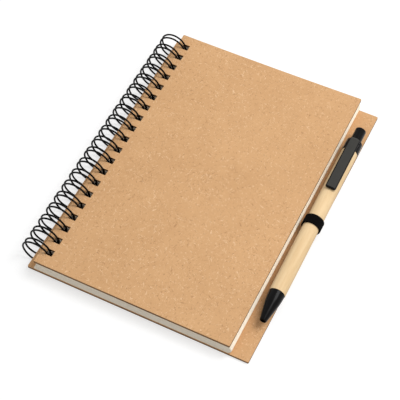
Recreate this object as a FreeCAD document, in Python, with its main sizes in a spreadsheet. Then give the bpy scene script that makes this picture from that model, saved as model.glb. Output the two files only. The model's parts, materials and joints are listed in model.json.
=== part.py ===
"""Spiral notebook with a card cover, a double-loop wire binding and a click pen in an elastic loop.

Frame: +Z up, the spine along Y at the left (-X), the fore-edge and the pen at the right (+X).
The origin is the middle of the whole object's footprint, on the surface that it lies on.
All sizes are in millimetres and all angles in degrees.
"""

import FreeCAD, Part
import math
import os

import Sketcher

V = FreeCAD.Vector
DOC = FreeCAD.newDocument("spiral_notebook")

SIZES = [
    ("cover_height", 177.8, "both covers, along the spine"),
    ("corner_radius", 0.6, "rounding of the card corners"),
    ("front_width", 114.6, "front cover, spine edge to fore-edge"),
    ("pen_room", 2.0, "front cover's fore-edge to the pen's loop"),
    ("front_thick", 1.6, "front cover board"),
    ("front_hole_edge", 5.45, "front hole centres from the spine edge"),
    ("back_thick", 1.6, "back cover board"),
    ("back_hole_edge", 6.25, "back hole centres from the back cover's spine edge"),
    ("back_hole_extra", 0.4, "back holes longer across the spine, for the slanting wire"),
    ("page_short", 0.2, "pages short of the front cover at the fore-edge"),
    ("page_thick", 6.3, "page block"),
    ("page_inset", 0.2, "pages short of the covers at the head and at the foot"),
    ("page_hole_edge", 4.5, "page hole centres from the page block's spine edge"),
    ("cover_gap", 0.3, "air between the pages and the front cover"),
    ("hole_ease", 0.2, "square holes wider than a pair of wires"),
    ("hole_pitch", 8.4667, "three loops to the inch"),
    ("hole_margin", 7.5, "least card past the middle of the last hole"),
    ("front_hole_out", 0.88, "front hole centres outside the loops' middle line"),
    ("page_hole_in", 0.74, "page hole centres inside the loops' middle line"),
    ("back_hole_in", 0.29, "back hole centres inside the loops' middle line"),
    ("wire_diameter", 1.0, "binding wire"),
    ("wire_spacing", 2.6, "the two wires of one loop, middle to middle"),
    ("ring_ease", 2.9, "loops' middle line past half the closed stack"),
    ("ring_drop", 1.05, "loops' middle line under the back cover at the bottom"),
    ("wire_bend", 1.0, "bends between a loop and the spine bars"),
    ("tip_angle", 60.0, "where a loop's closed end starts, below the horizontal"),
    ("pen_edge", 3.2, "pen axis inside the back cover's fore-edge"),
    ("pen_skew", 0.65, "turn of the pen in its loop, seen from above"),
    ("pen_front_reach", 66.6, "middle of the loop to the nose's mouth"),
    ("loop_width", 6.0, "elastic band along the pen"),
    ("loop_thick", 0.95, "elastic band"),
    ("loop_ease", 0.05, "room round the band, at the barrel and over the card"),
    ("slot_ease", 0.1, "room round the band's ends in the slot"),
    ("barrel_diameter", 9.2, "rolled card barrel, outside"),
    ("barrel_wall", 0.7, "rolled card barrel"),
    ("barrel_length", 101.7, "rolled card barrel"),
    ("spigot_ease", 0.05, "room between a spigot and the barrel's bore"),
    ("spigot_wall", 0.65, "wall of the rear spigot"),
    ("rear_spigot_length", 10.0, "spigot of the clip moulding"),
    ("nose_length", 18.2, "nose, mouth to barrel"),
    ("nose_step", 0.1, "nose under the barrel's outside where they meet"),
    ("nose_taper", 0.35, "nose's radius lost from the barrel to its shoulder"),
    ("nose_shoulder", 13.0, "mouth to the change of taper"),
    ("nose_blend", 36.0, "radius that softens the change of taper"),
    ("nose_tip_diameter", 3.7, "nose at its rounded end"),
    ("nose_round", 0.45, "rounding of the nose's end"),
    ("nose_spigot_length", 8.0, "spigot of the nose"),
    ("mouth_ease", 0.1, "room round the writing point in the nose's mouth"),
    ("chamber_ease", 0.65, "room round the return spring in the nose"),
    ("spring_seat", 10.6, "mouth to the spring's seat"),
    ("collar_length", 8.0, "collar of the clip moulding"),
    ("collar_step", 0.15, "collar of the clip moulding over the barrel's outside"),
    ("clip_length", 39.0, "free end of the clip to the back of the collar"),
    ("clip_width", 6.2, "clip arm"),
    ("clip_thick", 1.2, "clip arm"),
    ("clip_clear", 0.5, "clip arm over the barrel"),
    ("clip_slope", 3.0, "slanting root of the clip arm"),
    ("clip_pad", 0.35, "pad under the clip's free end"),
    ("clip_pad_length", 3.0, "pad under the clip's free end"),
    ("clip_corner", 1.3, "rounding of the clip's free end"),
    ("clip_roll", 5.0, "turn of the clip round the pen, towards the fore-edge"),
    ("button_out", 9.8, "push button past the collar"),
    ("button_round", 0.7, "rounding of the push button's end"),
    ("button_ease", 0.05, "room round the sliding button"),
    ("button_wall", 0.75, "wall of the hollow push button"),
    ("button_cap", 2.5, "closed end of the push button"),
    ("flange_ease", 0.3, "room round the button's flange and the rotor's ribs"),
    ("flange_length", 1.6, "flange that keeps the button in"),
    ("stop_gap", 0.3, "flange to the end of the rear spigot"),
    ("rib_height", 0.8, "ribs of the latch rotor"),
    ("rotor_length", 6.0, "latch rotor below the button"),
    ("rotor_stem_ease", 0.1, "room round the rotor stem inside the button"),
    ("rotor_stem_length", 8.0, "rotor stem inside the button"),
    ("rib_width", 0.9, "each rib of the rotor"),
    ("rib_length", 4.0, "each rib of the rotor"),
    ("rib_count", 4, "ribs round the rotor"),
    ("socket_depth", 4.0, "refill in the rotor"),
    ("refill_diameter", 3.0, "ink tube, outside"),
    ("refill_bore", 2.0, "ink tube, inside"),
    ("refill_ease", 0.05, "room round the ink tube in the rotor"),
    ("point_diameter", 2.2, "writing point's shank"),
    ("point_recess", 2.8, "writing point behind the nose's mouth at rest"),
    ("point_cone", 3.2, "tapered end of the writing point"),
    ("point_ball_diameter", 0.7, "writing point's end"),
    ("point_stub_length", 5.0, "writing point inside the ink tube"),
    ("point_stub_ease", 0.05, "room round the stub in the ink tube"),
    ("spring_wire", 0.4, "return spring wire"),
    ("spring_ease", 0.15, "room round the writing point inside the return spring"),
    ("spring_length", 10.0, "return spring, seat to ink tube"),
    ("spring_turns", 8, "turns of the return spring"),
]


def make_sheet():
    """Fill the spreadsheet with one driving size a row."""
    sheet = DOC.addObject("Spreadsheet::Sheet", "Sizes")
    for row, (alias, value, meaning) in enumerate(SIZES, start=1):
        sheet.set(f"A{row}", alias)
        sheet.set(f"B{row}", str(value))
        sheet.set(f"C{row}", meaning)
        sheet.setAlias(f"B{row}", alias)
    DOC.recompute()
    return sheet


SHEET = make_sheet()


class Term:
    """An expression on the sheet, kept with its present value."""

    def __init__(self, text, value):
        self.text = str(text)
        self.value = float(value)

    def _join(self, other, sign, value):
        return Term(f"({self.text} {sign} {other.text})", value)

    def __add__(self, other):
        other = term(other)
        return self._join(other, "+", self.value + other.value)

    def __sub__(self, other):
        other = term(other)
        return self._join(other, "-", self.value - other.value)

    def __mul__(self, other):
        other = term(other)
        return self._join(other, "*", self.value * other.value)

    def __truediv__(self, other):
        other = term(other)
        return self._join(other, "/", self.value / other.value)

    def __neg__(self):
        return Term(f"(0 - {self.text})", -self.value)


def term(value):
    """A number or a term, as a term."""
    return value if isinstance(value, Term) else Term(value, value)


def size(alias):
    """One driving size, as a term."""
    return Term(f"Sizes.{alias}", SHEET.get(alias))


def sine(angle):
    """Sine of an angle in degrees."""
    return Term(f"sin({angle.text} * 1 deg)", math.sin(math.radians(angle.value)))


def cosine(angle):
    """Cosine of an angle in degrees."""
    return Term(f"cos({angle.text} * 1 deg)", math.cos(math.radians(angle.value)))


def root(number):
    """Square root."""
    return Term(f"sqrt({number.text})", math.sqrt(number.value))


def whole(number):
    """The whole number at or below a number."""
    return Term(f"floor({number.text})", math.floor(number.value))


# Places that several pieces share

BARREL_RADIUS = size("barrel_diameter") / 2
BORE_RADIUS = BARREL_RADIUS - size("barrel_wall")
LOOP_INNER = BARREL_RADIUS + size("loop_ease")
LOOP_OUTER = LOOP_INNER + size("loop_thick")

HOLE_SIZE = size("wire_spacing") + size("wire_diameter") + size("hole_ease")
HOLE_COUNT = whole((size("cover_height") - size("hole_margin") * 2) / size("hole_pitch")) + 1

CLOSED_STACK = size("back_thick") + size("page_thick") + size("cover_gap") + size("front_thick")
RING_RADIUS = CLOSED_STACK / 2 + size("ring_ease")
RING_OUTER = RING_RADIUS + size("wire_diameter") / 2

RING_Z = RING_OUTER
BACK_Z = RING_Z - RING_RADIUS + size("ring_drop")
PAGE_Z = BACK_Z + size("back_thick")
FRONT_Z = PAGE_Z + size("page_thick") + size("cover_gap")
PEN_Z = PAGE_Z + size("loop_ease") + LOOP_OUTER


def ring_reach(bottom, thick):
    """From the loops' axis out to their middle line, halfway up a layer of the stack."""
    height = bottom + thick / 2 - RING_Z
    return root(RING_RADIUS * RING_RADIUS - height * height)


FRONT_HOLES = ring_reach(FRONT_Z, size("front_thick")) + size("front_hole_out")
PAGE_HOLES = ring_reach(PAGE_Z, size("page_thick")) - size("page_hole_in")
BACK_HOLES = ring_reach(BACK_Z, size("back_thick")) - size("back_hole_in")
RING_TO_FRONT = FRONT_HOLES - size("front_hole_edge")
RING_TO_PEN = RING_TO_FRONT + size("front_width") + size("pen_room") + LOOP_OUTER
HALF_SPAN = (RING_OUTER + RING_TO_PEN + LOOP_OUTER) / 2

RING_X = RING_OUTER - HALF_SPAN
FRONT_X = RING_X + RING_TO_FRONT
PAGE_X = RING_X + PAGE_HOLES - size("page_hole_edge")
BACK_X = RING_X + BACK_HOLES - size("back_hole_edge")
PEN_X = RING_X + RING_TO_PEN
PAGE_WIDTH = FRONT_X + size("front_width") - size("page_short") - PAGE_X
BACK_WIDTH = PEN_X + size("pen_edge") - BACK_X

# Radii inside the pen, from the barrel's bore inwards

SPIGOT_RADIUS = BORE_RADIUS - size("spigot_ease")
BUTTON_BORE = SPIGOT_RADIUS - size("spigot_wall")
BUTTON_RADIUS = BUTTON_BORE - size("button_ease")
BUTTON_HOLLOW = BUTTON_RADIUS - size("button_wall")
FLANGE_RADIUS = BORE_RADIUS - size("flange_ease")
POINT_RADIUS = size("point_diameter") / 2
SPRING_RADIUS = POINT_RADIUS + size("spring_ease") + size("spring_wire") / 2
CHAMBER_RADIUS = SPRING_RADIUS + size("spring_wire") / 2 + size("chamber_ease")

# Stations along the pen, from the middle of its loop, positive towards the button

NOSE_MOUTH = -size("pen_front_reach")
BARREL_FRONT = NOSE_MOUTH + size("nose_length")
BARREL_BACK = BARREL_FRONT + size("barrel_length")
COLLAR_BACK = BARREL_BACK + size("collar_length")
REAR_SPIGOT_FRONT = BARREL_BACK - size("rear_spigot_length")
BUTTON_FRONT = REAR_SPIGOT_FRONT - size("stop_gap") - size("flange_length")
ROTOR_FRONT = BUTTON_FRONT - size("rotor_length")
CLIP_FREE_END = COLLAR_BACK - size("clip_length")
SPRING_FRONT = NOSE_MOUTH + size("spring_seat")
TUBE_FRONT = SPRING_FRONT + size("spring_length")
POINT_FRONT = NOSE_MOUTH + size("point_recess")


def bind(thing, prop, value):
    """Tie one property to the sheet."""
    thing.setExpression(prop, term(value).text)


def place(thing, x, y, z, yaw=0, pitch=0, roll=0):
    """Tie a piece's placement to the sheet."""
    spot = "; ".join(term(v).text for v in (x, y, z))
    turn = "; ".join(term(v).text for v in (yaw, pitch, roll))
    thing.setExpression("Placement", f"placement(vector({spot}); rotation({turn}))")


def place_on_pen(thing, station, pitch=0, roll=0):
    """Put a piece on the pen's axis, its own +Y (or turned +Z) pointing at the button."""
    skew = size("pen_skew")
    x = PEN_X - station * sine(skew)
    y = station * cosine(skew)
    place(thing, x, y, PEN_Z, skew, pitch, roll)


def new_body(name):
    """An empty body whose label names its file."""
    body = DOC.addObject("PartDesign::Body", name)
    body.Label = name
    return body


def new_sketch(body, name, plane):
    """A sketch on one of the body's own origin planes."""
    sketch = body.newObject("Sketcher::SketchObject", name)
    feature = next(f for f in body.Origin.OriginFeatures if f.Role == plane)
    sketch.AttachmentSupport = [(feature, "")]
    sketch.MapMode = "FlatFace"
    return sketch


ORIGIN_POINT = (-1, 1)


def hold(sketch, point, x, y):
    """Hold a point at x, y from the sketch's origin, on an axis where that is zero."""
    for value, kind, axis in ((x, "DistanceX", -2), (y, "DistanceY", -1)):
        value = term(value)
        if value.value == 0:
            sketch.addConstraint(Sketcher.Constraint("PointOnObject", *point, axis))
            continue
        ends = (ORIGIN_POINT, point) if value.value > 0 else (point, ORIGIN_POINT)
        shown = value if value.value > 0 else -value
        index = sketch.addConstraint(Sketcher.Constraint(kind, *ends[0], *ends[1], shown.value))
        bind(sketch, f"Constraints[{index}]", shown)


def add_rectangle(sketch, width, height, x=0, y=0):
    """A rectangle about the point x, y."""
    width, height, x, y = (term(v) for v in (width, height, x, y))
    left, right = x.value - width.value / 2, x.value + width.value / 2
    low, high = y.value - height.value / 2, y.value + height.value / 2
    corners = [V(left, low, 0), V(right, low, 0), V(right, high, 0), V(left, high, 0)]
    sides = [
        sketch.addGeometry(Part.LineSegment(corners[i], corners[(i + 1) % 4]), False)
        for i in range(4)
    ]
    for i in range(4):
        sketch.addConstraint(Sketcher.Constraint("Coincident", sides[i], 2, sides[(i + 1) % 4], 1))
    for side in (sides[0], sides[2]):
        sketch.addConstraint(Sketcher.Constraint("Horizontal", side))
    for side in (sides[1], sides[3]):
        sketch.addConstraint(Sketcher.Constraint("Vertical", side))
    middle = sketch.addGeometry(Part.Point(V(x.value, y.value, 0)), True)
    sketch.addConstraint(Sketcher.Constraint("Symmetric", sides[0], 1, sides[2], 1, middle, 1))
    hold(sketch, (middle, 1), x, y)
    wide = sketch.addConstraint(Sketcher.Constraint("DistanceX", sides[0], 1, sides[0], 2, width.value))
    bind(sketch, f"Constraints[{wide}]", width)
    tall = sketch.addConstraint(Sketcher.Constraint("DistanceY", sides[1], 1, sides[1], 2, height.value))
    bind(sketch, f"Constraints[{tall}]", height)


def add_outline(sketch, points):
    """A closed outline of straight sides, each corner tied to the sheet."""
    corners = [(term(x), term(y)) for x, y in points]
    count = len(corners)
    sides = []
    for i in range(count):
        start, end = corners[i], corners[(i + 1) % count]
        line = Part.LineSegment(V(start[0].value, start[1].value, 0), V(end[0].value, end[1].value, 0))
        sides.append(sketch.addGeometry(line, False))
    for i in range(count):
        following = sides[(i + 1) % count]
        sketch.addConstraint(Sketcher.Constraint("Coincident", sides[i], 2, following, 1))
    for side, (x, y) in zip(sides, corners):
        hold(sketch, (side, 1), x, y)


def add_circle(sketch, radius):
    """A circle about the sketch's origin."""
    circle = sketch.addGeometry(Part.Circle(V(0, 0, 0), V(0, 0, 1), radius.value), False)
    sketch.addConstraint(Sketcher.Constraint("Coincident", circle, 3, *ORIGIN_POINT))
    index = sketch.addConstraint(Sketcher.Constraint("Radius", circle, radius.value))
    bind(sketch, f"Constraints[{index}]", radius)


def pad(body, name, sketch, length, both_ways=False):
    """Raise a sketch into a solid."""
    feature = body.newObject("PartDesign::Pad", name)
    feature.Profile = sketch
    bind(feature, "Length", length)
    feature.SideType = "Symmetric" if both_ways else "One side"
    return feature


def revolve(body, name, sketch):
    """Turn a sketch a full circle about its own vertical axis."""
    feature = body.newObject("PartDesign::Revolution", name)
    feature.Profile = sketch
    feature.ReferenceAxis = (sketch, ["V_Axis"])
    feature.Angle = 360
    return feature


def cut_up(body, name, sketch, depth):
    """Cut a sketch on the base plane upwards through the solid, and see that it cuts."""
    DOC.recompute()
    before = body.Shape.Volume
    feature = body.newObject("PartDesign::Pocket", name)
    feature.Profile = sketch
    feature.Reversed = True
    bind(feature, "Length", depth)
    DOC.recompute()
    if not body.Shape.Volume < before:
        raise RuntimeError(f"{name} cuts nothing")
    return feature


def round_edges(body, name, feature, radius, wanted):
    """Round the edges of a feature that the test picks."""
    DOC.recompute()
    edges = [f"Edge{i}" for i, edge in enumerate(feature.Shape.Edges, start=1) if wanted(edge)]
    fillet = body.newObject("PartDesign::Fillet", name)
    fillet.Base = (feature, edges)
    bind(fillet, "Radius", radius)
    return fillet


def upright(edge):
    """Whether an edge runs straight up."""
    ends = edge.Vertexes
    return len(ends) == 2 and abs(ends[0].Z - ends[1].Z) > 0.99 * edge.Length


def circle_at(radius, station):
    """A test for the circular edge of one radius at one place along Y."""

    def wanted(edge):
        curve = edge.Curve
        return (
            isinstance(curve, Part.Circle)
            and abs(curve.Radius - radius.value) < 1e-4
            and abs(curve.Center.y - station.value) < 1e-4
        )

    return wanted


def punch_holes(body, holes_name, edge_distance, width, length, depth):
    """The row of square holes along the spine edge of a card or of the pages."""
    first = (HOLE_COUNT - 1) * size("hole_pitch") / 2
    sketch = new_sketch(body, f"{holes_name}_sketch", "XY_Plane")
    add_rectangle(sketch, length, HOLE_SIZE, edge_distance - width / 2, -first)
    hole = cut_up(body, holes_name, sketch, depth)
    row = body.newObject("PartDesign::LinearPattern", f"{holes_name}_row")
    row.Originals = [hole]
    row.Direction = (sketch, ["V_Axis"])
    bind(row, "Length", first * 2)
    bind(row, "Occurrences", HOLE_COUNT)
    body.Tip = row
    DOC.recompute()
    return row


def make_sheet_stock(name, width, height, thick):
    """A flat rectangular piece with rounded corners, about its own middle."""
    body = new_body(name)
    sketch = new_sketch(body, f"{name}_outline", "XY_Plane")
    add_rectangle(sketch, width, height)
    board = pad(body, f"{name}_board", sketch, thick)
    round_edges(body, f"{name}_corners", board, size("corner_radius"), upright)
    return body


def make_front_cover():
    """Front cover: kraft board with the row of holes."""
    width = size("front_width")
    thick = size("front_thick")
    body = make_sheet_stock("front_cover", width, size("cover_height"), thick)
    edge = size("front_hole_edge")
    punch_holes(body, "front_holes", edge, width, HOLE_SIZE, thick)
    place(body, FRONT_X + width / 2, 0, FRONT_Z)
    return body


def make_back_cover():
    """Back cover: wider board with the row of holes and the slot for the pen loop's ends."""
    width = BACK_WIDTH
    thick = size("back_thick")
    body = make_sheet_stock("back_cover", width, size("cover_height"), thick)
    edge = size("back_hole_edge")
    punch_holes(body, "back_holes", edge, width, HOLE_SIZE + size("back_hole_extra"), thick)
    slot = new_sketch(body, "loop_slot_sketch", "XY_Plane")
    ease = size("slot_ease") * 2
    across = size("loop_thick") * 2 + ease
    along = size("loop_width") + ease
    add_rectangle(slot, across, along, width / 2 - size("pen_edge"), 0)
    body.Tip = cut_up(body, "loop_slot", slot, thick)
    place(body, BACK_X + width / 2, 0, BACK_Z)
    return body


def make_page_block():
    """The sheets, as one block with square-punched tunnels."""
    width = PAGE_WIDTH
    thick = size("page_thick")
    height = size("cover_height") - size("page_inset") * 2
    body = make_sheet_stock("page_block", width, height, thick)
    edge = size("page_hole_edge")
    punch_holes(body, "page_holes", edge, width, HOLE_SIZE, thick)
    place(body, PAGE_X + width / 2, 0, PAGE_Z)
    return body


def loop_point(angle, y):
    """A point on the loops' cylinder, the angle in degrees from +X towards +Z."""
    radius = RING_RADIUS.value
    turn = math.radians(angle)
    return V(radius * math.cos(turn), y, radius * math.sin(turn))


def wire_path():
    """The middle line of the binding wire, one run from the first loop's foot to the last one's.

    Each loop goes up from the spine bar at the bottom, over the top, down through the holes,
    turns back on itself in a half circle and returns. Neighbouring loops share a straight bar.
    """
    foot_angle = 270
    tip_angle = -size("tip_angle").value
    half = size("wire_spacing").value / 2
    bend = size("wire_bend").value
    count = int(HOLE_COUNT.value)
    pitch = size("hole_pitch").value
    slant = math.cos(math.radians(45))
    turn = math.radians(tip_angle)
    onward = V(math.sin(turn), 0, -math.cos(turn))
    edges = []

    def corner(start, sideways, inward):
        """A quarter bend between a loop's foot and a bar; the bar lies bend further along X."""
        middle = start + V(bend * slant, sideways * bend * (1 - slant), 0)
        end = start + V(bend, sideways * bend, 0)
        arc = (start, middle, end) if inward else (end, middle, start)
        edges.append(Part.Arc(*arc).toShape())
        return end

    def loop_arc(y, start, end):
        middle = (start + end) / 2
        arc = Part.Arc(loop_point(start, y), loop_point(middle, y), loop_point(end, y))
        edges.append(arc.toShape())

    last_end = None
    for number in range(count):
        y = (number - (count - 1) / 2) * pitch
        first_foot = loop_point(foot_angle, y - half)
        bar_end = first_foot + V(bend, -bend, 0)
        bar_start = last_end if last_end else bar_end - V(0, bend, 0)
        edges.append(Part.LineSegment(bar_start, bar_end).toShape())
        corner(first_foot, -1, False)
        loop_arc(y - half, foot_angle, tip_angle)
        closed_end = [loop_point(tip_angle, y - half), loop_point(tip_angle, y + half)]
        closed_end.insert(1, loop_point(tip_angle, y) + onward * half)
        edges.append(Part.Arc(*closed_end).toShape())
        loop_arc(y + half, tip_angle, foot_angle)
        last_end = corner(loop_point(foot_angle, y + half), 1, True)
    edges.append(Part.LineSegment(last_end, last_end + V(0, bend, 0)).toShape())
    return Part.Wire(edges)


def sweep_round(path, start, direction, diameter):
    """A round wire of one diameter along a path."""
    circle = Part.Circle(start, direction, diameter / 2)
    return path.makePipeShell([Part.Wire([circle.toShape()])], True, False)


def make_binding_wire():
    """Double-loop wire: one continuous wire, bent into a pair of wires at every hole."""
    path = wire_path()
    start = path.OrderedVertexes[0].Point
    solid = sweep_round(path, start, V(0, 1, 0), size("wire_diameter").value)
    expected = path.Length * math.pi * (size("wire_diameter").value / 2) ** 2
    if abs(solid.Volume - expected) > 0.01 * expected:
        raise RuntimeError(f"binding wire: {solid.Volume:.1f} against {expected:.1f} cubic mm")
    wire = DOC.addObject("Part::Feature", "binding_wire")
    wire.Label = "binding_wire"
    wire.Shape = solid
    wire.Placement = FreeCAD.Placement(V(RING_X.value, 0, RING_Z.value), FreeCAD.Rotation())
    return wire


def make_pen_loop():
    """Elastic band round the barrel, its two ends going down together through the slot."""
    body = new_body("pen_loop")
    ring = new_sketch(body, "loop_ring_sketch", "XZ_Plane")
    add_circle(ring, LOOP_OUTER)
    add_circle(ring, LOOP_INNER)
    pad(body, "loop_ring", ring, size("loop_width"), both_ways=True)
    ends = new_sketch(body, "loop_ends_sketch", "XZ_Plane")
    top = LOOP_INNER + size("loop_thick") / 2
    bottom = LOOP_OUTER + size("loop_ease") + size("back_thick")
    add_rectangle(ends, size("loop_thick") * 2, bottom - top, 0, -(top + bottom) / 2)
    pad(body, "loop_ends", ends, size("loop_width"), both_ways=True)
    place(body, PEN_X, 0, PEN_Z)
    return body


def make_pen_barrel():
    """Barrel: a tube of rolled card."""
    body = new_body("pen_barrel")
    sketch = new_sketch(body, "barrel_profile", "XY_Plane")
    length = size("barrel_length")
    add_outline(sketch, [(BORE_RADIUS, 0), (BARREL_RADIUS, 0), (BARREL_RADIUS, length), (BORE_RADIUS, length)])
    revolve(body, "barrel_tube", sketch)
    place_on_pen(body, BARREL_FRONT)
    return body


def make_pen_nose():
    """Nose: tapered moulding with a spigot in the barrel, a spring chamber and a mouth."""
    body = new_body("pen_nose")
    sketch = new_sketch(body, "nose_profile", "XY_Plane")
    mouth = POINT_RADIUS + size("mouth_ease")
    tip = size("nose_tip_diameter") / 2
    base = BARREL_RADIUS - size("nose_step")
    shoulder = base - size("nose_taper")
    length = size("nose_length")
    top = length + size("nose_spigot_length")
    seat = size("spring_seat")
    outline = [
        (mouth, 0),
        (tip, 0),
        (shoulder, size("nose_shoulder")),
        (base, length),
        (SPIGOT_RADIUS, length),
        (SPIGOT_RADIUS, top),
        (CHAMBER_RADIUS, top),
        (CHAMBER_RADIUS, seat),
        (mouth, seat),
    ]
    add_outline(sketch, outline)
    turned = revolve(body, "nose_turned", sketch)
    blend = round_edges(
        body, "nose_blend", turned, size("nose_blend"), circle_at(shoulder, size("nose_shoulder"))
    )
    round_edges(body, "nose_end", blend, size("nose_round"), circle_at(tip, term(0)))
    place_on_pen(body, NOSE_MOUTH)
    return body


def make_pen_clip():
    """Clip moulding: spigot, collar and springy clip arm in one piece."""
    body = new_body("pen_clip")
    sketch = new_sketch(body, "collar_profile", "XY_Plane")
    collar = BARREL_RADIUS + size("collar_step")
    back = size("clip_length")
    front = back - size("collar_length")
    start = front - size("rear_spigot_length")
    outline = [
        (BUTTON_BORE, start),
        (SPIGOT_RADIUS, start),
        (SPIGOT_RADIUS, front),
        (collar, front),
        (collar, back),
        (BUTTON_BORE, back),
    ]
    add_outline(sketch, outline)
    revolve(body, "collar_turned", sketch)
    side = new_sketch(body, "clip_arm_sketch", "YZ_Plane")
    under = BARREL_RADIUS + size("clip_clear")
    top = under + size("clip_thick")
    seat = BUTTON_BORE + size("spigot_wall") / 2
    pad_under = under - size("clip_pad")
    arm = [
        (0, pad_under),
        (size("clip_pad_length"), pad_under),
        (size("clip_pad_length") * 2, under),
        (front, under),
        (front, seat),
        (back, seat),
        (back, collar),
        (back - size("clip_slope"), top),
        (0, top),
    ]
    add_outline(side, arm)
    arm_pad = pad(body, "clip_arm", side, size("clip_width"), both_ways=True)

    def free_end(edge):
        return upright(edge) and abs(edge.CenterOfMass.y) < 1e-4

    round_edges(body, "clip_end", arm_pad, size("clip_corner"), free_end)
    place_on_pen(body, CLIP_FREE_END, pitch=size("clip_roll"))
    return body


def make_pen_button():
    """Push button: hollow plunger with a rounded end and a flange that keeps it in."""
    body = new_body("pen_button")
    sketch = new_sketch(body, "button_profile", "XY_Plane")
    length = COLLAR_BACK + size("button_out") - BUTTON_FRONT
    floor = length - size("button_cap")
    outline = [
        (BUTTON_HOLLOW, 0),
        (FLANGE_RADIUS, 0),
        (FLANGE_RADIUS, size("flange_length")),
        (BUTTON_RADIUS, size("flange_length")),
        (BUTTON_RADIUS, length),
        (0, length),
        (0, floor),
        (BUTTON_HOLLOW, floor),
    ]
    add_outline(sketch, outline)
    turned = revolve(body, "button_turned", sketch)
    round_edges(body, "button_end", turned, size("button_round"), circle_at(BUTTON_RADIUS, length))
    place_on_pen(body, BUTTON_FRONT)
    return body


def make_pen_rotor():
    """Latch rotor: ribbed cylinder between the button and the ink tube."""
    body = new_body("pen_rotor")
    sketch = new_sketch(body, "rotor_profile", "XY_Plane")
    radius = FLANGE_RADIUS - size("rib_height")
    stem = BUTTON_HOLLOW - size("rotor_stem_ease")
    socket = size("refill_diameter") / 2 + size("refill_ease")
    length = size("rotor_length")
    top = length + size("rotor_stem_length")
    depth = size("socket_depth")
    outline = [
        (socket, 0),
        (radius, 0),
        (radius, length),
        (stem, length),
        (stem, top),
        (0, top),
        (0, depth),
        (socket, depth),
    ]
    add_outline(sketch, outline)
    revolve(body, "rotor_turned", sketch)
    rib_sketch = new_sketch(body, "rotor_rib_sketch", "XY_Plane")
    inner = (socket + radius) / 2
    end = size("rib_length")
    add_outline(rib_sketch, [(inner, 0), (FLANGE_RADIUS, 0), (FLANGE_RADIUS, end), (inner, end)])
    rib = pad(body, "rotor_rib", rib_sketch, size("rib_width"), both_ways=True)
    ribs = body.newObject("PartDesign::PolarPattern", "rotor_ribs")
    ribs.Originals = [rib]
    ribs.Axis = (rib_sketch, ["V_Axis"])
    ribs.Angle = 360
    bind(ribs, "Occurrences", size("rib_count"))
    body.Tip = ribs
    place_on_pen(body, ROTOR_FRONT)
    return body


def make_pen_refill():
    """Ink tube, from the rotor's socket to the spring."""
    body = new_body("pen_refill")
    sketch = new_sketch(body, "refill_profile", "XY_Plane")
    outer = size("refill_diameter") / 2
    inner = size("refill_bore") / 2
    length = ROTOR_FRONT + size("socket_depth") - TUBE_FRONT
    add_outline(sketch, [(inner, 0), (outer, 0), (outer, length), (inner, length)])
    revolve(body, "refill_tube", sketch)
    place_on_pen(body, TUBE_FRONT)
    return body


def make_pen_point():
    """Writing point: shank with a tapered end, and a stub in the ink tube."""
    body = new_body("pen_point")
    sketch = new_sketch(body, "point_profile", "XY_Plane")
    ball = size("point_ball_diameter") / 2
    stub = size("refill_bore") / 2 - size("point_stub_ease")
    seat = TUBE_FRONT - POINT_FRONT
    top = seat + size("point_stub_length")
    outline = [
        (0, 0),
        (ball, 0),
        (POINT_RADIUS, size("point_cone")),
        (POINT_RADIUS, seat),
        (stub, seat),
        (stub, top),
        (0, top),
    ]
    add_outline(sketch, outline)
    revolve(body, "point_turned", sketch)
    place_on_pen(body, POINT_FRONT)
    return body


def make_pen_spring():
    """Return spring round the writing point, between the nose's seat and the ink tube."""
    radius = SPRING_RADIUS.value
    wire = size("spring_wire").value
    height = size("spring_length").value - wire
    pitch = height / size("spring_turns").value
    helix = Part.Wire(Part.makeHelix(pitch, height, radius).Edges)
    direction = V(0, 2 * math.pi * radius, pitch)
    solid = sweep_round(helix, V(radius, 0, 0), direction, wire)
    spring = DOC.addObject("Part::Feature", "pen_spring")
    spring.Label = "pen_spring"
    spring.Shape = solid
    place_on_pen(spring, SPRING_FRONT + size("spring_wire") / 2, roll=-90)
    return spring


def check_document(pieces):
    """Stop if any object failed or any piece isn't one sound solid."""
    for thing in DOC.Objects:
        if "Invalid" in thing.State or "Error" in thing.State:
            raise RuntimeError(f"{thing.Name} failed: {thing.State}")
    for piece in pieces:
        shape = piece.Shape
        if shape.isNull() or not shape.isValid() or len(shape.Solids) != 1:
            raise RuntimeError(f"{piece.Label} isn't one valid solid")


def write_pieces(pieces):
    """Write each piece to its own file."""
    os.makedirs("parts", exist_ok=True)
    for piece in pieces:
        piece.Shape.exportStep(f"parts/{piece.Label}.step")
        box = piece.Shape.BoundBox
        low = f"{box.XMin:.2f} {box.YMin:.2f} {box.ZMin:.2f}"
        high = f"{box.XMax:.2f} {box.YMax:.2f} {box.ZMax:.2f}"
        print(f"{piece.Label}: {piece.Shape.Volume:.1f} cubic mm, {low} to {high}")


PIECES = [
    make_back_cover(),
    make_page_block(),
    make_front_cover(),
    make_binding_wire(),
    make_pen_loop(),
    make_pen_barrel(),
    make_pen_nose(),
    make_pen_clip(),
    make_pen_button(),
    make_pen_rotor(),
    make_pen_refill(),
    make_pen_point(),
    make_pen_spring(),
]
DOC.recompute()
check_document(PIECES)
write_pieces(PIECES)
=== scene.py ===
"""Looks of the spiral notebook: kraft covers, paper, wire loops and a click pen in its elastic loop.

Sizes in the classes are millimetres in the notebook's own frame: +Z up, the spine along Y at the left
(-X), the pen at the right (+X). Meshes are written in metres.
"""

import json
import logging
import math
from dataclasses import dataclass, field
from enum import Enum

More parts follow.
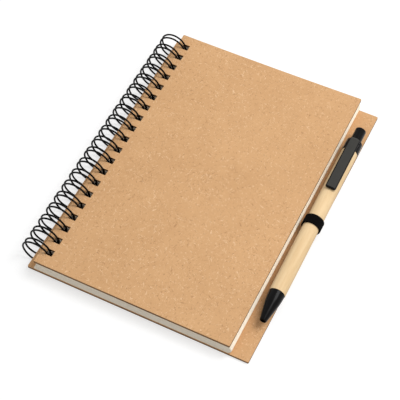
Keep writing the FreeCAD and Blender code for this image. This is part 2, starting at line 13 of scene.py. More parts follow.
import bmesh
import bpy
import numpy as np
from mathutils import Matrix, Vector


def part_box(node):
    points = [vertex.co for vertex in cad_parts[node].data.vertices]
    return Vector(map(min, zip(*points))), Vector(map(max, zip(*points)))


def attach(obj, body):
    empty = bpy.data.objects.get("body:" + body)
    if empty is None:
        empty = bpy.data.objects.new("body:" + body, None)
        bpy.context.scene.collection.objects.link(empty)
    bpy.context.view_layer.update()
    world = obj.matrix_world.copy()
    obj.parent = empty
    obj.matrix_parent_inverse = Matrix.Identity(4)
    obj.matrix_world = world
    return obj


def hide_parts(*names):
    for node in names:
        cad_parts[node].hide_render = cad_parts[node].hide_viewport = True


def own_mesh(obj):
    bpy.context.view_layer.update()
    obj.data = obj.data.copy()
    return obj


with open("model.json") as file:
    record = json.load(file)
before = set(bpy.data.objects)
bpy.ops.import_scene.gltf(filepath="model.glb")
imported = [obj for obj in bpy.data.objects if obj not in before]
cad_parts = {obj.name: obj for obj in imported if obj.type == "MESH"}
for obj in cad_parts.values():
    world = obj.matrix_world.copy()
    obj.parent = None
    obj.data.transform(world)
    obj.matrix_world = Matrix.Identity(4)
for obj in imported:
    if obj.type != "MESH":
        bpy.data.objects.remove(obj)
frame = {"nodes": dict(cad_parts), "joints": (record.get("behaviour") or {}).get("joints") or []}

LOG = logging.getLogger("notebook")
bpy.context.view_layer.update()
METRES = 0.001
MERGE_DISTANCE = 2e-6
CREASE_ANGLE = math.radians(32)

Array = np.ndarray
Colour = tuple[float, float, float]
Scale = float | tuple[float, float, float]


def srgb(red: int, green: int, blue: int) -> Colour:
    """A screen colour as scene-linear red, green and blue.

    Args:
        red, green, blue: levels of 0 to 255.

    Returns:
        c / 12.92 near black, and ((c + 0.055) / 1.055) to the power 2.4 above that.
    """
    levels = [channel / 255 for channel in (red, green, blue)]
    return tuple(c / 12.92 if c <= 0.04045 else ((c + 0.055) / 1.055) ** 2.4 for c in levels)


def node_box(node: str) -> tuple[Array, Array]:
    """The lowest and highest corner of a frame node at rest, in millimetres."""
    low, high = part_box(node)
    return np.array(low) / METRES, np.array(high) / METRES


class Body(Enum):
    """The bodies of the frame that pieces ride on."""

    BOOK = "book"
    COVER = "cover"
    PLUNGER = "plunger"


class Field:
    """A shader socket that takes part in Python sums, each of which adds its Math node."""

    def __init__(self, graph: "NodeGraph", socket: bpy.types.NodeSocket) -> None:
        """Wrap one output socket of a graph."""
        self.graph = graph
        self.socket = socket

    def _sum(self, operation: str, first: "Field | float", second: "Field | float" = 0.0) -> "Field":
        """A Math node on one or two values, each a field or a number."""
        node = self.graph.add("ShaderNodeMath", {"operation": operation}, {0: first, 1: second})
        return Field(self.graph, node.outputs[0])

    def __add__(self, other: "Field | float") -> "Field":
        """This plus other."""
        return self._sum("ADD", self, other)

    __radd__ = __add__

    def __mul__(self, other: "Field | float") -> "Field":
        """This times other."""
        return self._sum("MULTIPLY", self, other)

    __rmul__ = __mul__

    def __abs__(self) -> "Field":
        """Size without sign."""
        return self._sum("ABSOLUTE", self)

    def sine(self) -> "Field":
        """Sine of this, in radians."""
        return self._sum("SINE", self)

    def or_more(self, other: "Field | float") -> "Field":
        """The larger of this and other."""
        return self._sum("MAXIMUM", self, other)


class NodeGraph:
    """The node tree of one material, built up from wrapped sockets."""

    MIX_FACTOR, MIX_A, MIX_B, MIX_RESULT = 0, 6, 7, 2

    def __init__(self, tree: bpy.types.NodeTree) -> None:
        """Start with an empty tree."""
        self.tree = tree
        self.tree.nodes.clear()

    def add(self, kind: str, settings: dict | None = None, sockets: dict | None = None) -> bpy.types.Node:
        """Add one node.

        Args:
            kind: the node's type.
            settings: its properties, set first; "stops" holds a ramp's (place, brightness) pairs.
            sockets: values or links by socket name or number.

        Returns:
            The new node.
        """
        node = self.tree.nodes.new(kind)
        for key, value in (settings or {}).items():
            if key == "stops":
                self._set_stops(node, value)
            else:
                setattr(node, key, value)
        for key, value in (sockets or {}).items():
            if isinstance(value, Field):
                self.tree.links.new(value.socket, node.inputs[key])
            elif isinstance(value, tuple) and node.inputs[key].type == "RGBA":
                node.inputs[key].default_value = (*value, 1.0)
            else:
                node.inputs[key].default_value = value
        return node

    @staticmethod
    def _set_stops(node: bpy.types.Node, stops: list[tuple[float, float]]) -> None:
        """Set a colour ramp's grey stops, given as (place, brightness)."""
        elements = node.color_ramp.elements
        while len(elements) < len(stops):
            elements.new(1.0)
        for element, (place, level) in zip(elements, stops):
            element.position = place
            element.color = (level, level, level, 1.0)

    def position(self, scale: Scale, turn: tuple = (0.0, 0.0, 0.0)) -> Field:
        """The point on the piece in millimetres, turned and then scaled.

        Args:
            scale: factor along each turned axis, or one for all three.
            turn: angles about X, Y and Z in degrees.

        Returns:
            The vector that patterns are drawn on.
        """
        place = Field(self, self.add("ShaderNodeTexCoord").outputs["Object"])
        angles = tuple(math.radians(angle) for angle in turn)
        turned = self.add("ShaderNodeMapping", {}, {"Vector": place, "Rotation": angles})
        factors = tuple(factor / METRES for factor in (scale if isinstance(scale, tuple) else (scale,) * 3))
        stretched = {"Vector": Field(self, turned.outputs[0]), "Scale": factors}
        return Field(self, self.add("ShaderNodeMapping", {}, stretched).outputs[0])

    def noise(
        self, place: "Field | Scale", detail: float = 2.0, roughness: float = 0.5, twist: float = 0.0
    ) -> Field:
        """Cloudy noise with features about one unit of its vector across.

        Args:
            place: the vector that it is drawn on, or the scale of its position.
            detail: number of finer layers.
            roughness: strength of the finer layers.
            twist: distortion.

        Returns:
            Values round 0.5.
        """
        layers = {"Scale": 1.0, "Detail": detail, "Roughness": roughness, "Distortion": twist}
        vector = place if isinstance(place, Field) else self.position(place)
        return Field(self, self.add("ShaderNodeTexNoise", {}, {"Vector": vector, **layers}).outputs[0])

    def cells(self, scale: Scale) -> Field:
        """Distance to the nearest of scattered points, about one unit of the scaled position apart."""
        sockets = {"Vector": self.position(scale), "Scale": 1.0}
        node = self.add("ShaderNodeTexVoronoi", {"feature": "F1"}, sockets)
        return Field(self, node.outputs["Distance"])

    def ramp(self, value: Field, stops: list[tuple[float, float]]) -> Field:
        """Brightness along straight runs between stops of (place, brightness)."""
        return Field(self, self.add("ShaderNodeValToRGB", {"stops": stops}, {0: value}).outputs[0])

    def step(self, value: Field, start: float, end: float) -> Field:
        """0 up to start, 1 from end on, and straight between them."""
        return self.ramp(value, [(start, 0.0), (end, 1.0)])

    def mark(self, name: str) -> Field:
        """A number kept on the piece's own points."""
        return Field(self, self.add("ShaderNodeAttribute", {"attribute_name": name}).outputs["Fac"])

    def blend(self, factor: Field, first: "Field | Colour", second: "Field | Colour") -> Field:
        """A colour between two, by a factor."""
        sockets = {self.MIX_FACTOR: factor, self.MIX_A: first, self.MIX_B: second}
        node = self.add("ShaderNodeMix", {"data_type": "RGBA"}, sockets)
        return Field(self, node.outputs[self.MIX_RESULT])

    def tones(self, value: Field, start: float, end: float, first: Colour, second: Colour) -> Field:
        """A colour that passes from first to second as a value goes from start to end."""
        return self.blend(self.step(value, start, end), first, second)

    def relief(self, height: Field, depth: float) -> Field:
        """A normal bumped by heights of 0 to 1, whose depth is in millimetres."""
        sockets = {"Height": height, "Distance": depth * METRES, "Strength": 1.0}
        return Field(self, self.add("ShaderNodeBump", {}, sockets).outputs[0])

    def surface(self, colour: Field, roughness: "Field | float", more: dict) -> None:
        """Close the tree with the surface shader; more holds other values and links by socket name."""
        sockets = {"Base Color": colour, "Roughness": roughness, **more}
        shader = self.add("ShaderNodeBsdfPrincipled", {}, sockets)
        self.add("ShaderNodeOutputMaterial", {}, {"Surface": Field(self, shader.outputs[0])})


def new_material(name: str) -> tuple[bpy.types.Material, NodeGraph]:
    """An empty node material and its graph."""
    material = bpy.data.materials.new(name)
    material.use_nodes = True
    return material, NodeGraph(material.node_tree)


@dataclass(frozen=True)
class KraftBoard:
    """Unbleached card: soft mottle, short crossing fibres, a few dark specks and a plainer cut edge, whose tones
    are darkened further as painted shade of the boards' edges.
    """

    name: str
    shade: Colour = srgb(212, 165, 117)
    pale: Colour = srgb(223, 176, 127)
    light_fibre: Colour = srgb(250, 214, 172)
    dark_fibre: Colour = srgb(168, 117, 72)
    speck: Colour = srgb(136, 92, 55)
    # The two cut-edge tones below are the card's own darker edge, made darker still as painted shade of the
    # boards' edges.
    edge: Colour = srgb(150, 111, 72)
    edge_shade: Colour = srgb(112, 80, 50)
    grain_turn: float = 0.0
    light_angles: tuple[float, ...] = (17.0, 71.0, 128.0)
    dark_angles: tuple[float, ...] = (44.0, 103.0, 161.0)
    strand: tuple[float, float, float] = (0.5, 1.7, 1.0)
    strand_peak: tuple[float, float] = (0.68, 0.73)
    tooth: float = 0.05
    gloss: float = 0.3

    def material(self) -> bpy.types.Material:
        """The card's material."""
        material, graph = new_material(self.name)
        mottle = graph.noise(0.14, 3.0, 0.5)
        cloud = graph.noise(0.03, 2.0)
        tone = graph.step(mottle * 0.5 + cloud * 0.5, 0.3, 0.7)
        colour = graph.blend(tone, self.shade, self.pale)
        light = self._fibres(graph, self.light_angles)
        dark = self._fibres(graph, self.dark_angles)
        colour = graph.blend(dark * 0.5, colour, self.dark_fibre)
        colour = graph.blend(light * 0.55, colour, self.light_fibre)
        specks = graph.ramp(graph.cells(0.3), [(0.07, 1.0), (0.12, 0.0)])
        colour = graph.blend(specks * 0.42, colour, self.speck)
        # The cut edge: layered tones, darkened as painted shade that the edges sit in.
        layers = graph.noise((0.06, 0.06, 5.0), 3.0, 0.6)
        cut = graph.tones(layers, 0.4, 0.6, self.edge_shade, self.edge)
        on_edge = graph.ramp(abs(graph.mark("through")), [(0.84, 1.0), (0.97, 0.0)])
        colour = graph.blend(on_edge, colour, cut)
        height = graph.noise(1.6, 4.0, 0.6) * 0.6 + light * 0.4
        more = {"Normal": graph.relief(height, self.tooth), "Specular IOR Level": self.gloss}
        graph.surface(colour, 0.78 + 0.14 * mottle, more)
        return material

    def _fibres(self, graph: NodeGraph, angles: tuple[float, ...]) -> Field:
        """Short strands at a few angles: the peaks of noise that is stretched along each angle."""
        found = None
        for angle in angles:
            place = graph.position(self.strand, (0.0, 0.0, angle + self.grain_turn))
            strand = graph.noise(place, 1.0, 0.4, 0.6)
            found = strand if found is None else found.or_more(strand)
        return graph.step(found, *self.strand_peak)


@dataclass(frozen=True)
class PaperStack:
    """Cream uncoated sheets, whose edges differ a little from sheet to sheet."""

    name: str
    pale: Colour = srgb(255, 246, 230)
    shade: Colour = srgb(253, 243, 226)
    line: Colour = srgb(240, 225, 200)
    tooth: float = 0.02

    def material(self) -> bpy.types.Material:
        """The paper's material."""
        material, graph = new_material(self.name)
        cloud = graph.noise((0.05, 0.05, 0.9), 3.0)
        colour = graph.tones(cloud, 0.35, 0.6, self.shade, self.pale)
        sheets = graph.noise((0.002, 0.002, 7.0), 2.0, 0.7)
        dark_sheets = graph.step(sheets, 0.56, 0.7)
        colour = graph.blend(dark_sheets * 0.45, colour, self.line)
        fibres = graph.noise(2.4, 3.0, 0.6)
        graph.surface(colour, 0.88 + 0.08 * fibres, {"Normal": graph.relief(fibres, self.tooth)})
        return material


@dataclass(frozen=True)
class CoatedWire:
    """Black nylon-coated wire, satin, a little dusty and worn in places."""

    name: str
    black: Colour = srgb(4, 3, 3)
    worn: Colour = srgb(13, 11, 11)
    tooth: float = 0.012
    gloss: float = 0.07

    def material(self) -> bpy.types.Material:
        """The wire's material."""
        material, graph = new_material(self.name)
        wear = graph.noise(0.7, 4.0, 0.65)
        colour = graph.tones(wear, 0.45, 0.75, self.black, self.worn)
        grain = graph.noise(5.0, 2.0)
        more = {"Normal": graph.relief(grain, self.tooth), "Specular IOR Level": self.gloss}
        graph.surface(colour, 0.22 + 0.2 * wear, more)
        return material


@dataclass(frozen=True)
class WovenElastic:
    """Black woven elastic: ribs along the band, crossed by the weft, painted lighter on their crests and darker
    in their hollows as painted light and shade.
    """

    name: str
    black: Colour = srgb(3, 2, 2)
    # A lighter colour painted on the crests of the weave, as painted light on them.
    painted_crest_light: Colour = srgb(16, 14, 12)
    rib_pitch: float = 0.5
    weft_pitch: float = 0.62
    rib_height: float = 0.12
    gloss: float = 0.06

    def material(self) -> bpy.types.Material:
        """The band's material."""
        material, graph = new_material(self.name)
        ribs = abs((graph.mark("across") * (math.pi / self.rib_pitch)).sine())
        weft = abs((graph.mark("along") * (math.pi / self.weft_pitch)).sine())
        height = ribs * (0.45 + 0.55 * weft)
        fuzz = graph.noise(3.5, 3.0)
        # Colour follows the relief's height: painted shade in the hollows, painted light on the crests.
        colour = graph.tones(height * fuzz, 0.1, 0.5, self.black, self.painted_crest_light)
        more = {"Normal": graph.relief(height, self.rib_height), "Specular IOR Level": self.gloss}
        graph.surface(colour, 0.86 + 0.1 * fuzz, more)
        return material


@dataclass(frozen=True)
class MouldedPlastic:
    """Moulded plastic: nearly even, with a faint moulding texture, and on the faces marked so rougher and painted
    a lighter grey as the sheen of the light.
    """

    name: str
    body: Colour = srgb(4, 3, 3)
    bloom: Colour = srgb(9, 8, 8)
    # The grey below is painted on the marked faces as the sheen of the light on the clip's flat top.
    matt: Colour = srgb(62, 61, 58)
    satin: float = 0.15
    gloss: float = 0.1
    texture: float = 0.006

    def material(self) -> bpy.types.Material:
        """The moulding's material."""
        material, graph = new_material(self.name)
        cloud = graph.noise(0.22, 3.0)
        colour = graph.tones(cloud, 0.4, 0.7, self.body, self.bloom)
        # The marked faces are rougher and take the painted grey that stands for the light's sheen on them.
        matt = graph.mark("matt")
        colour = graph.blend(matt * (0.8 + 0.3 * cloud), colour, self.matt)
        pebble = graph.noise(6.0, 2.0)
        roughness = self.satin + 0.12 * cloud + 0.35 * matt
        more = {"Normal": graph.relief(pebble, self.texture), "Specular IOR Level": self.gloss}
        graph.surface(colour, roughness, more)
        return material


@dataclass(frozen=True)
class RolledCard:
    """Pale kraft paper rolled into a tube: fibres run along it, with soft lengthwise tones."""

    name: str
    pale: Colour = srgb(243, 212, 165)
    shade: Colour = srgb(234, 200, 150)
    fibre: Colour = srgb(212, 174, 122)
    skew: float = 0.65
    tooth: float = 0.03

    def material(self) -> bpy.types.Material:
        """The barrel's material."""
        material, graph = new_material(self.name)
        turn = (0.0, 0.0, -self.skew)
        tones = graph.noise(graph.position((0.5, 0.035, 0.5), turn), 3.0, 0.6)
        colour = graph.tones(tones, 0.38, 0.62, self.shade, self.pale)
        strands = graph.noise(graph.position((2.6, 0.3, 2.6), turn), 2.0, 0.5, 0.2)
        fibres = graph.step(strands, 0.6, 0.72)
        colour = graph.blend(fibres * 0.35, colour, self.fibre)
        height = strands * 0.6 + tones * 0.4
        graph.surface(colour, 0.6 + 0.2 * tones, {"Normal": graph.relief(height, self.tooth)})
        return material


@dataclass(frozen=True)
class TurnedMetal:
    """Bare metal with fine tool rings round the pen's axis."""

    name: str
    metal: Colour
    tarnish: Colour
    rings: float = 9.0
    ring_depth: float = 0.01

    def material(self) -> bpy.types.Material:
        """The metal's material."""
        material, graph = new_material(self.name)
        cloud = graph.noise(0.8, 3.0)
        colour = graph.tones(cloud, 0.4, 0.75, self.metal, self.tarnish)
        rings = graph.noise((0.3, self.rings, 0.3), 2.0)
        more = {"Normal": graph.relief(rings, self.ring_depth), "Metallic": 1.0}
        graph.surface(colour, 0.22 + 0.2 * rings, more)
        return material


@dataclass
class Shell:
    """Points in millimetres and faces of a closed surface, with numbers kept on its points."""

    points: Array
    faces: list[Array]
    marks: dict[str, Array] = field(default_factory=dict)


def join(shells: list[Shell]) -> Shell:
    """Several shells as one, each keeping its own points; a mark that one lacks is 0 there."""
    starts = np.cumsum([0] + [len(shell.points) for shell in shells[:-1]])
    faces = [part + start for shell, start in zip(shells, starts) for part in shell.faces]
    names = sorted({name for shell in shells for name in shell.marks})
    blank = [np.zeros(len(shell.points)) for shell in shells]
    marks = {name: np.concatenate([s.marks.get(name, b) for s, b in zip(shells, blank)]) for name in names}
    return Shell(np.vstack([shell.points for shell in shells]), faces, marks)


def ring_axis() -> Array:
    """A point on the axis of the wire loops, about which the front cover turns, in millimetres."""
    hinge = next(joint for joint in frame["joints"] if joint["name"] == "cover_open")
    return np.array(hinge["pos_m"]) / METRES


def grid_shell(grid: Array, wrap_rows: bool = False, capped: bool = False) -> Shell:
    """The surface over a grid of points whose columns run round in a ring.

    Args:
        grid: points by row and column, (rows, columns, 3).
        wrap_rows: whether the last row meets the first.
        capped: whether the first and last ring are closed by a fan about their middle.

    Returns:
        Quads between neighbouring rows and columns, and the fans' triangles.
    """
    rows, columns = grid.shape[:2]
    index = np.arange(rows * columns).reshape(rows, columns)
    index = np.hstack([index, index[:, :1]])
    if wrap_rows:
        index = np.vstack([index, index[:1]])
    quads = np.stack([index[:-1, :-1], index[:-1, 1:], index[1:, 1:], index[1:, :-1]], axis=-1)
    faces = [quads.reshape(-1, 4)]
    points = grid.reshape(-1, 3)
    if capped:
        middles = grid[[0, -1]].mean(axis=1)
        for ring, middle in ((index[0], len(points)), (index[-1], len(points) + 1)):
            hub = np.full(columns, middle)
            faces.append(np.stack([ring[:-1], ring[1:], hub], axis=-1))
        points = np.vstack([points, middles])
    return Shell(points, faces)


def rounded_outline(corners: list[tuple[float, float, float]], steps: int = 6) -> Array:
    """A closed outline with its corners rounded.

    Each corner gives way to the arc of its radius that touches both sides: the arc's centre is
    radius / sin(half the corner's angle) inwards, and its points swing evenly between the two
    touching points.

    Args:
        corners: (u, v, radius) of each corner in order.
        steps: points on each arc, less one.

    Returns:
        The points, (n, 2).
    """
    table = np.array(corners, float)
    spot, radius = table[:, :2], table[:, 2:]
    before = np.roll(spot, 1, axis=0) - spot
    after = np.roll(spot, -1, axis=0) - spot
    before /= np.linalg.norm(before, axis=1, keepdims=True)
    after /= np.linalg.norm(after, axis=1, keepdims=True)
    half = 0.5 * np.arccos(np.clip((before * after).sum(axis=1, keepdims=True), -1, 1))
    inward = before + after
    inward /= np.linalg.norm(inward, axis=1, keepdims=True)
    centre = spot + inward * radius / np.sin(half)
    first = spot + before * radius / np.tan(half) - centre
    last = spot + after * radius / np.tan(half) - centre
    swing = math.pi - 2 * half
    share = np.linspace(0, 1, steps + 1)
    from_first = (np.sin((1 - share) * swing) / np.sin(swing))[:, :, None]
    from_last = (np.sin(share * swing) / np.sin(swing))[:, :, None]
    arcs = centre[:, None] + from_first * first[:, None] + from_last * last[:, None]
    return arcs.reshape(-1, 2)


def sweep(path: Array, across: Array, section: Array) -> Shell:
    """A closed section carried along a path, with capped ends.

    Args:
        path: points of the path, (n, 3).
        across: a direction at each point, near to square with the path; the section's u axis.
        section: outline of the section, (m, 2).

    Returns:
        Ring i is path[i] + u * across + v * (tangent x across), and carries the marks "along", the
        distance from the path's start, and "across", the section's v.
    """
    tangent = np.gradient(path, axis=0)
    tangent /= np.linalg.norm(tangent, axis=1, keepdims=True)
    side = across - (across * tangent).sum(axis=1, keepdims=True) * tangent
    side /= np.linalg.norm(side, axis=1, keepdims=True)
    other = np.cross(tangent, side)
    u, v = section[:, 0, None], section[:, 1, None]
    grid = path[:, None] + u * side[:, None] + v * other[:, None]
    shell = grid_shell(grid, capped=True)
    length = np.concatenate([[0], np.cumsum(np.linalg.norm(np.diff(path, axis=0), axis=1))])
    along = np.repeat(length, len(section))
    shell.marks["along"] = np.append(along, length[[0, -1]])
    shell.marks["across"] = np.append(np.tile(section[:, 1], len(path)), [0, 0])
    return shell


def place_object(name: str, data: bpy.types.ID) -> bpy.types.Object:
    """A new object of some data, linked into the scene."""
    placed = bpy.data.objects.new(name, data)
    bpy.context.scene.collection.objects.link(placed)
    return placed


def make_piece(name: str, shell: Shell) -> bpy.types.Object:
    """A mesh object at the origin from a shell, with doubles merged and faces turned outwards.

    Args:
        name: the piece's name.
        shell: its surface.

    Returns:
        The new object.
    """
    mesh = bpy.data.meshes.new(name)
    faces = [face for part in shell.faces for face in part.tolist()]
    mesh.from_pydata((shell.points * METRES).tolist(), [], faces)
    for mark, values in shell.marks.items():
        mesh.attributes.new(mark, "FLOAT", "POINT").data.foreach_set("value", values.astype(np.float32))
    editing = bmesh.new()
    editing.from_mesh(mesh)
    bmesh.ops.remove_doubles(editing, verts=editing.verts, dist=MERGE_DISTANCE)
    bmesh.ops.recalc_face_normals(editing, faces=editing.faces)
    editing.to_mesh(mesh)
    editing.free()
    mesh.shade_smooth()
    mesh.set_sharp_from_angle(angle=CREASE_ANGLE)
    return place_object(name, mesh)


def round_section(diameter: float, sides: int) -> Array:
    """A circle's outline about the origin, (sides, 2)."""
    angle = np.linspace(0, 2 * math.pi, sides, endpoint=False)
    return np.column_stack([np.cos(angle), np.sin(angle)]) * diameter / 2


def soften(piece: bpy.types.Object, width: float) -> None:
    """Round the sharp edges of a piece by a width in millimetres."""
    bevel = piece.modifiers.new("worn_edges", "BEVEL")
    bevel.width = width * METRES
    bevel.segments = 2
    bevel.limit_method = "ANGLE"
    bevel.angle_limit = CREASE_ANGLE


def install(piece: bpy.types.Object, body: Body, finish: bpy.types.Material, node: str) -> None:
    """Dress a piece, let it ride on its body and take the place of a frame node.

    Args:
        piece: the new piece.
        body: the body that it rides on.
        finish: its material.
        node: the frame node that it stands for.
    """
    piece.data.materials.append(finish)
    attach(piece, body.value)
    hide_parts(node)
    LOG.info("%s: %d faces, on %s", piece.name, len(piece.data.polygons), body.value)


@dataclass
class PunchedSheet:
    """A flat sheet with rounded corners and a row of rectangular holes along its left edge.

    The sheet is a grid whose lines pass through every hole edge, with the holes' cells left out.
    """

    low: Array
    high: Array
    corner: float
    holes: Array
    corner_steps: int = 5
    longest_cell: float = 12.0

    def _lines(self, axis: int) -> Array:
        """Grid lines along one axis: both ends, the corners' rounding, hole edges and even fillers."""
        start, end = self.low[axis], self.high[axis]
        rounding = np.linspace(0, self.corner, self.corner_steps + 1)
        edges = self.holes[:, axis].ravel()
        fixed = np.unique(np.concatenate([start + rounding, end - rounding, edges]).round(5))
        gaps = np.diff(fixed)
        wide = np.nonzero(gaps > self.longest_cell)[0]
        fillers = [np.linspace(fixed[i], fixed[i + 1], int(gaps[i] / self.longest_cell) + 2) for i in wide]
        return np.unique(np.concatenate([fixed, *fillers]).round(5))

    def _round_corners(self, points: Array) -> Array:
        """Squeeze each corner square into its quarter disc: (a, b) is scaled by max(a, b) / |(a, b)|."""
        middle = (self.low + self.high) / 2
        centre = np.where(points < middle, self.low + self.corner, self.high - self.corner)
        offset = points - centre
        outside = ((points < middle) == (offset < 0)).all(axis=1) & (offset != 0).all(axis=1)
        longest = np.abs(offset).max(axis=1)
        reach = np.hypot(offset[:, 0], offset[:, 1])
        factor = np.where(outside, longest / np.maximum(reach, 1e-9), 1.0)
        return centre + offset * factor[:, None]

    def shell(self) -> Shell:
        """The sheet between heights 0 and 1, closed by walls at its outline and round every hole."""
        xs, ys = self._lines(0), self._lines(1)
        across = (xs[:-1] + xs[1:]) / 2
        up = (ys[:-1] + ys[1:]) / 2
        in_x = (across[:, None] > self.holes[:, 0, 0]) & (across[:, None] < self.holes[:, 0, 1])
        in_y = (up[:, None] > self.holes[:, 1, 0]) & (up[:, None] < self.holes[:, 1, 1])
        kept = ~((in_x.astype(int) @ in_y.astype(int).T) > 0)
        flat = np.stack(np.meshgrid(xs, ys, indexing="ij"), axis=-1).reshape(-1, 2)
        flat = self._round_corners(flat)
        count = len(flat)
        index = np.arange(count).reshape(len(xs), len(ys))
        i, j = np.nonzero(kept)
        bottom = np.stack([index[i, j], index[i, j + 1], index[i + 1, j + 1], index[i + 1, j]], axis=-1)
        faces = [bottom, bottom[:, ::-1] + count]
        padded = np.pad(kept, 1)
        for step in ((1, 0), (0, 1)):
            for sign in (1, -1):
                shifted = np.roll(padded, (-sign * step[0], -sign * step[1]), axis=(0, 1))
                a, b = np.nonzero(padded & ~shifted)
                a, b = a - 1, b - 1
                push = int(sign > 0)
                first = index[a + step[0] * push, b + step[1] * push]
                last = index[a + step[0] * push + step[1], b + step[1] * push + step[0]]
                faces.append(np.stack([first, last, last + count, first + count], axis=-1))
        points = np.vstack([np.column_stack([flat, np.full(count, level)]) for level in (0.0, 1.0)])
        used, compact = np.unique(np.concatenate([part.ravel() for part in faces]), return_inverse=True)
        sizes = np.cumsum([part.size for part in faces])[:-1]
        faces = [part.reshape(-1, 4) for part in np.split(compact, sizes)]
        return Shell(points[used], faces)


@dataclass
class Punching:
    """The row of holes that the wire loops pass through."""

    pitch: float = 8.4667
    count: int = 20
    size: float = 3.8

    def middles(self) -> Array:
        """y of each hole's and each loop's middle, evenly spaced about 0."""
        return (np.arange(self.count) - (self.count - 1) / 2) * self.pitch

    def holes(self, edge: float, to_centre: float, length: float = 0.0) -> Array:
        """The holes of one layer.

        Args:
            edge: x of the layer's spine edge.
            to_centre: from there to the holes' middle.
            length: size across the spine, or 0 for square holes.

        Returns:
            (count, 2, 2): for each hole, x and y, each from and to.
        """
        half_x, half_y = (length or self.size) / 2, self.size / 2
        x = edge + to_centre
        spans = np.empty((self.count, 2, 2))
        spans[:, 0] = (x - half_x, x + half_x)
        spans[:, 1] = self.middles()[:, None] + np.array([-half_y, half_y])
        return spans


class CoverSide(Enum):
    """Which cover: node, body, slot, hole distance and length, and its far corner's lean and lift."""

    FRONT = ("front_cover", Body.COVER, "front_card", 5.45, 3.8, 0.6, 2.0)
    BACK = ("back_cover", Body.BOOK, "back_card", 6.25, 4.2, 0.0, 0.0)


@dataclass
class Cover:
    """One kraft cover with its row of holes, and in the back cover the slot of the pen's loop."""

    side: CoverSide
    punching: Punching
    corner: float = 0.6
    slot_inset: float = 3.2
    slot_size: tuple[float, float] = (2.1, 6.2)
    edge_round: float = 0.12
    back_grain: float = 37.0

    def build(self) -> bpy.types.Object:
        """The board, a little out of square and with its far corner up.

        With x and y as shares of its size, a point moves by -lean * x * y across and lift * (x * y)
        squared up.
        """
        node, _, _, to_centre, length, lean, lift = self.side.value
        low, high = node_box(node)
        holes = self.punching.holes(low[0], to_centre, length)
        if self.side is CoverSide.BACK:
            middle = np.array([high[0] - self.slot_inset, 0.0])
            half = np.array(self.slot_size) / 2
            slot = np.stack([middle - half, middle + half], axis=-1)
            holes = np.concatenate([holes, slot[None]])
        shell = PunchedSheet(low[:2], high[:2], self.corner, holes).shell()
        level = shell.points[:, 2].copy()
        share = ((shell.points[:, :2] - low[:2]) / (high[:2] - low[:2])).prod(axis=1)
        shell.points[:, 0] -= lean * share
        shell.points[:, 2] = low[2] + level * (high[2] - low[2]) + lift * share**2
        shell.marks["through"] = level * 2 - 1
        piece = make_piece(f"{node}_card", shell)
        soften(piece, self.edge_round)
        return piece

    def dress(self, piece: bpy.types.Object) -> None:
        """Give the board its kraft finish and its place in the frame."""
        node, body, slot, *_ = self.side.value
        turn = 0.0 if self.side is CoverSide.FRONT else self.back_grain
        install(piece, body, KraftBoard(f"{node}_kraft", grain_turn=turn).material(), node)


@dataclass
class PageBlock:
    """The sheets of the book, one by one, hanging in the loops and each a little out of line."""

    punching: Punching
    sheets: int = 60
    to_holes: float = 4.5
    corner: float = 0.6
    filled: float = 0.95
    drift: float = 0.06
    corner_steps: int = 3
    longest_cell: float = 70.0
    seed: int = 7
    loop_radius: float = 7.8
    top_shift: float = 1.55
    foot_edge: tuple[float, float] = (-0.25, 1.5)
    head_edge: tuple[float, float] = (-1.1, 0.95)

    def _settle(self, flat: Array, height: Array, low: Array, high: Array, held: float) -> Array:
        """How far points of a sheet slip along x, (sheets, points).

        Up to its holes a sheet follows the round of the loops: by the top sheet's slip plus the change
        in sqrt(radius squared - (height over the loops' axis) squared). Beyond them that passes evenly
        into the fore-edge's own slip: set + bulge * (1 - (height from the middle / half the block)
        squared), whose set and bulge pass evenly from foot to head.

        Args:
            flat: x and y of the sheet's points.
            height: height of each sheet.
            low, high: the block's corners.
            held: x where the holes end.
        """
        above = height - ring_axis()[2]
        reach = np.sqrt(self.loop_radius**2 - above**2)
        follow = (self.top_shift + reach - reach[-1])[:, None]
        along = ((flat[:, 1] - low[1]) / (high[1] - low[1]))[None]
        outline = [foot + (head - foot) * along for foot, head in zip(self.foot_edge, self.head_edge)]
        rise = 2 * (height[:, None] - low[2]) / (high[2] - low[2]) - 1
        fore_edge = outline[0] + outline[1] * (1 - rise**2)
        share = np.clip((flat[:, 0] - held) / (high[0] - held), 0, 1)[None]
        return follow * (1 - share) + fore_edge * share

    def build(self) -> bpy.types.Object:
        """All sheets as one piece: the same punched sheet, thin, at even heights, slipped and drifting."""
        low, high = node_box("page_block")
        holes = self.punching.holes(low[0], self.to_holes)
        inner_low, inner_high = low[:2] + self.drift, high[:2] - self.drift
        sheet = PunchedSheet(
            inner_low, inner_high, self.corner, holes, self.corner_steps, self.longest_cell
        ).shell()
        step = (high[2] - low[2]) / self.sheets
        height = low[2] + np.arange(self.sheets) * step
        random = np.random.default_rng(self.seed)
        one = sheet.points * (1, 1, step * self.filled)
        points = np.broadcast_to(one, (self.sheets, *one.shape)).copy()
        points[..., 2] += height[:, None]
        points[..., :2] += random.uniform(-self.drift, self.drift, (self.sheets, 1, 2))
        points[..., 0] += self._settle(sheet.points[:, :2], height, low, high, holes[0, 0, 1])
        offset = np.arange(self.sheets)[:, None, None] * len(sheet.points)
        faces = [(part[None] + offset).reshape(-1, 4) for part in sheet.faces]
        return make_piece("paper_sheets", Shell(points.reshape(-1, 3), faces))

    def dress(self, piece: bpy.types.Object) -> None:
        """Give the sheets their paper and their place in the frame."""
        install(piece, Body.BOOK, PaperStack("cream_paper").material(), "page_block")


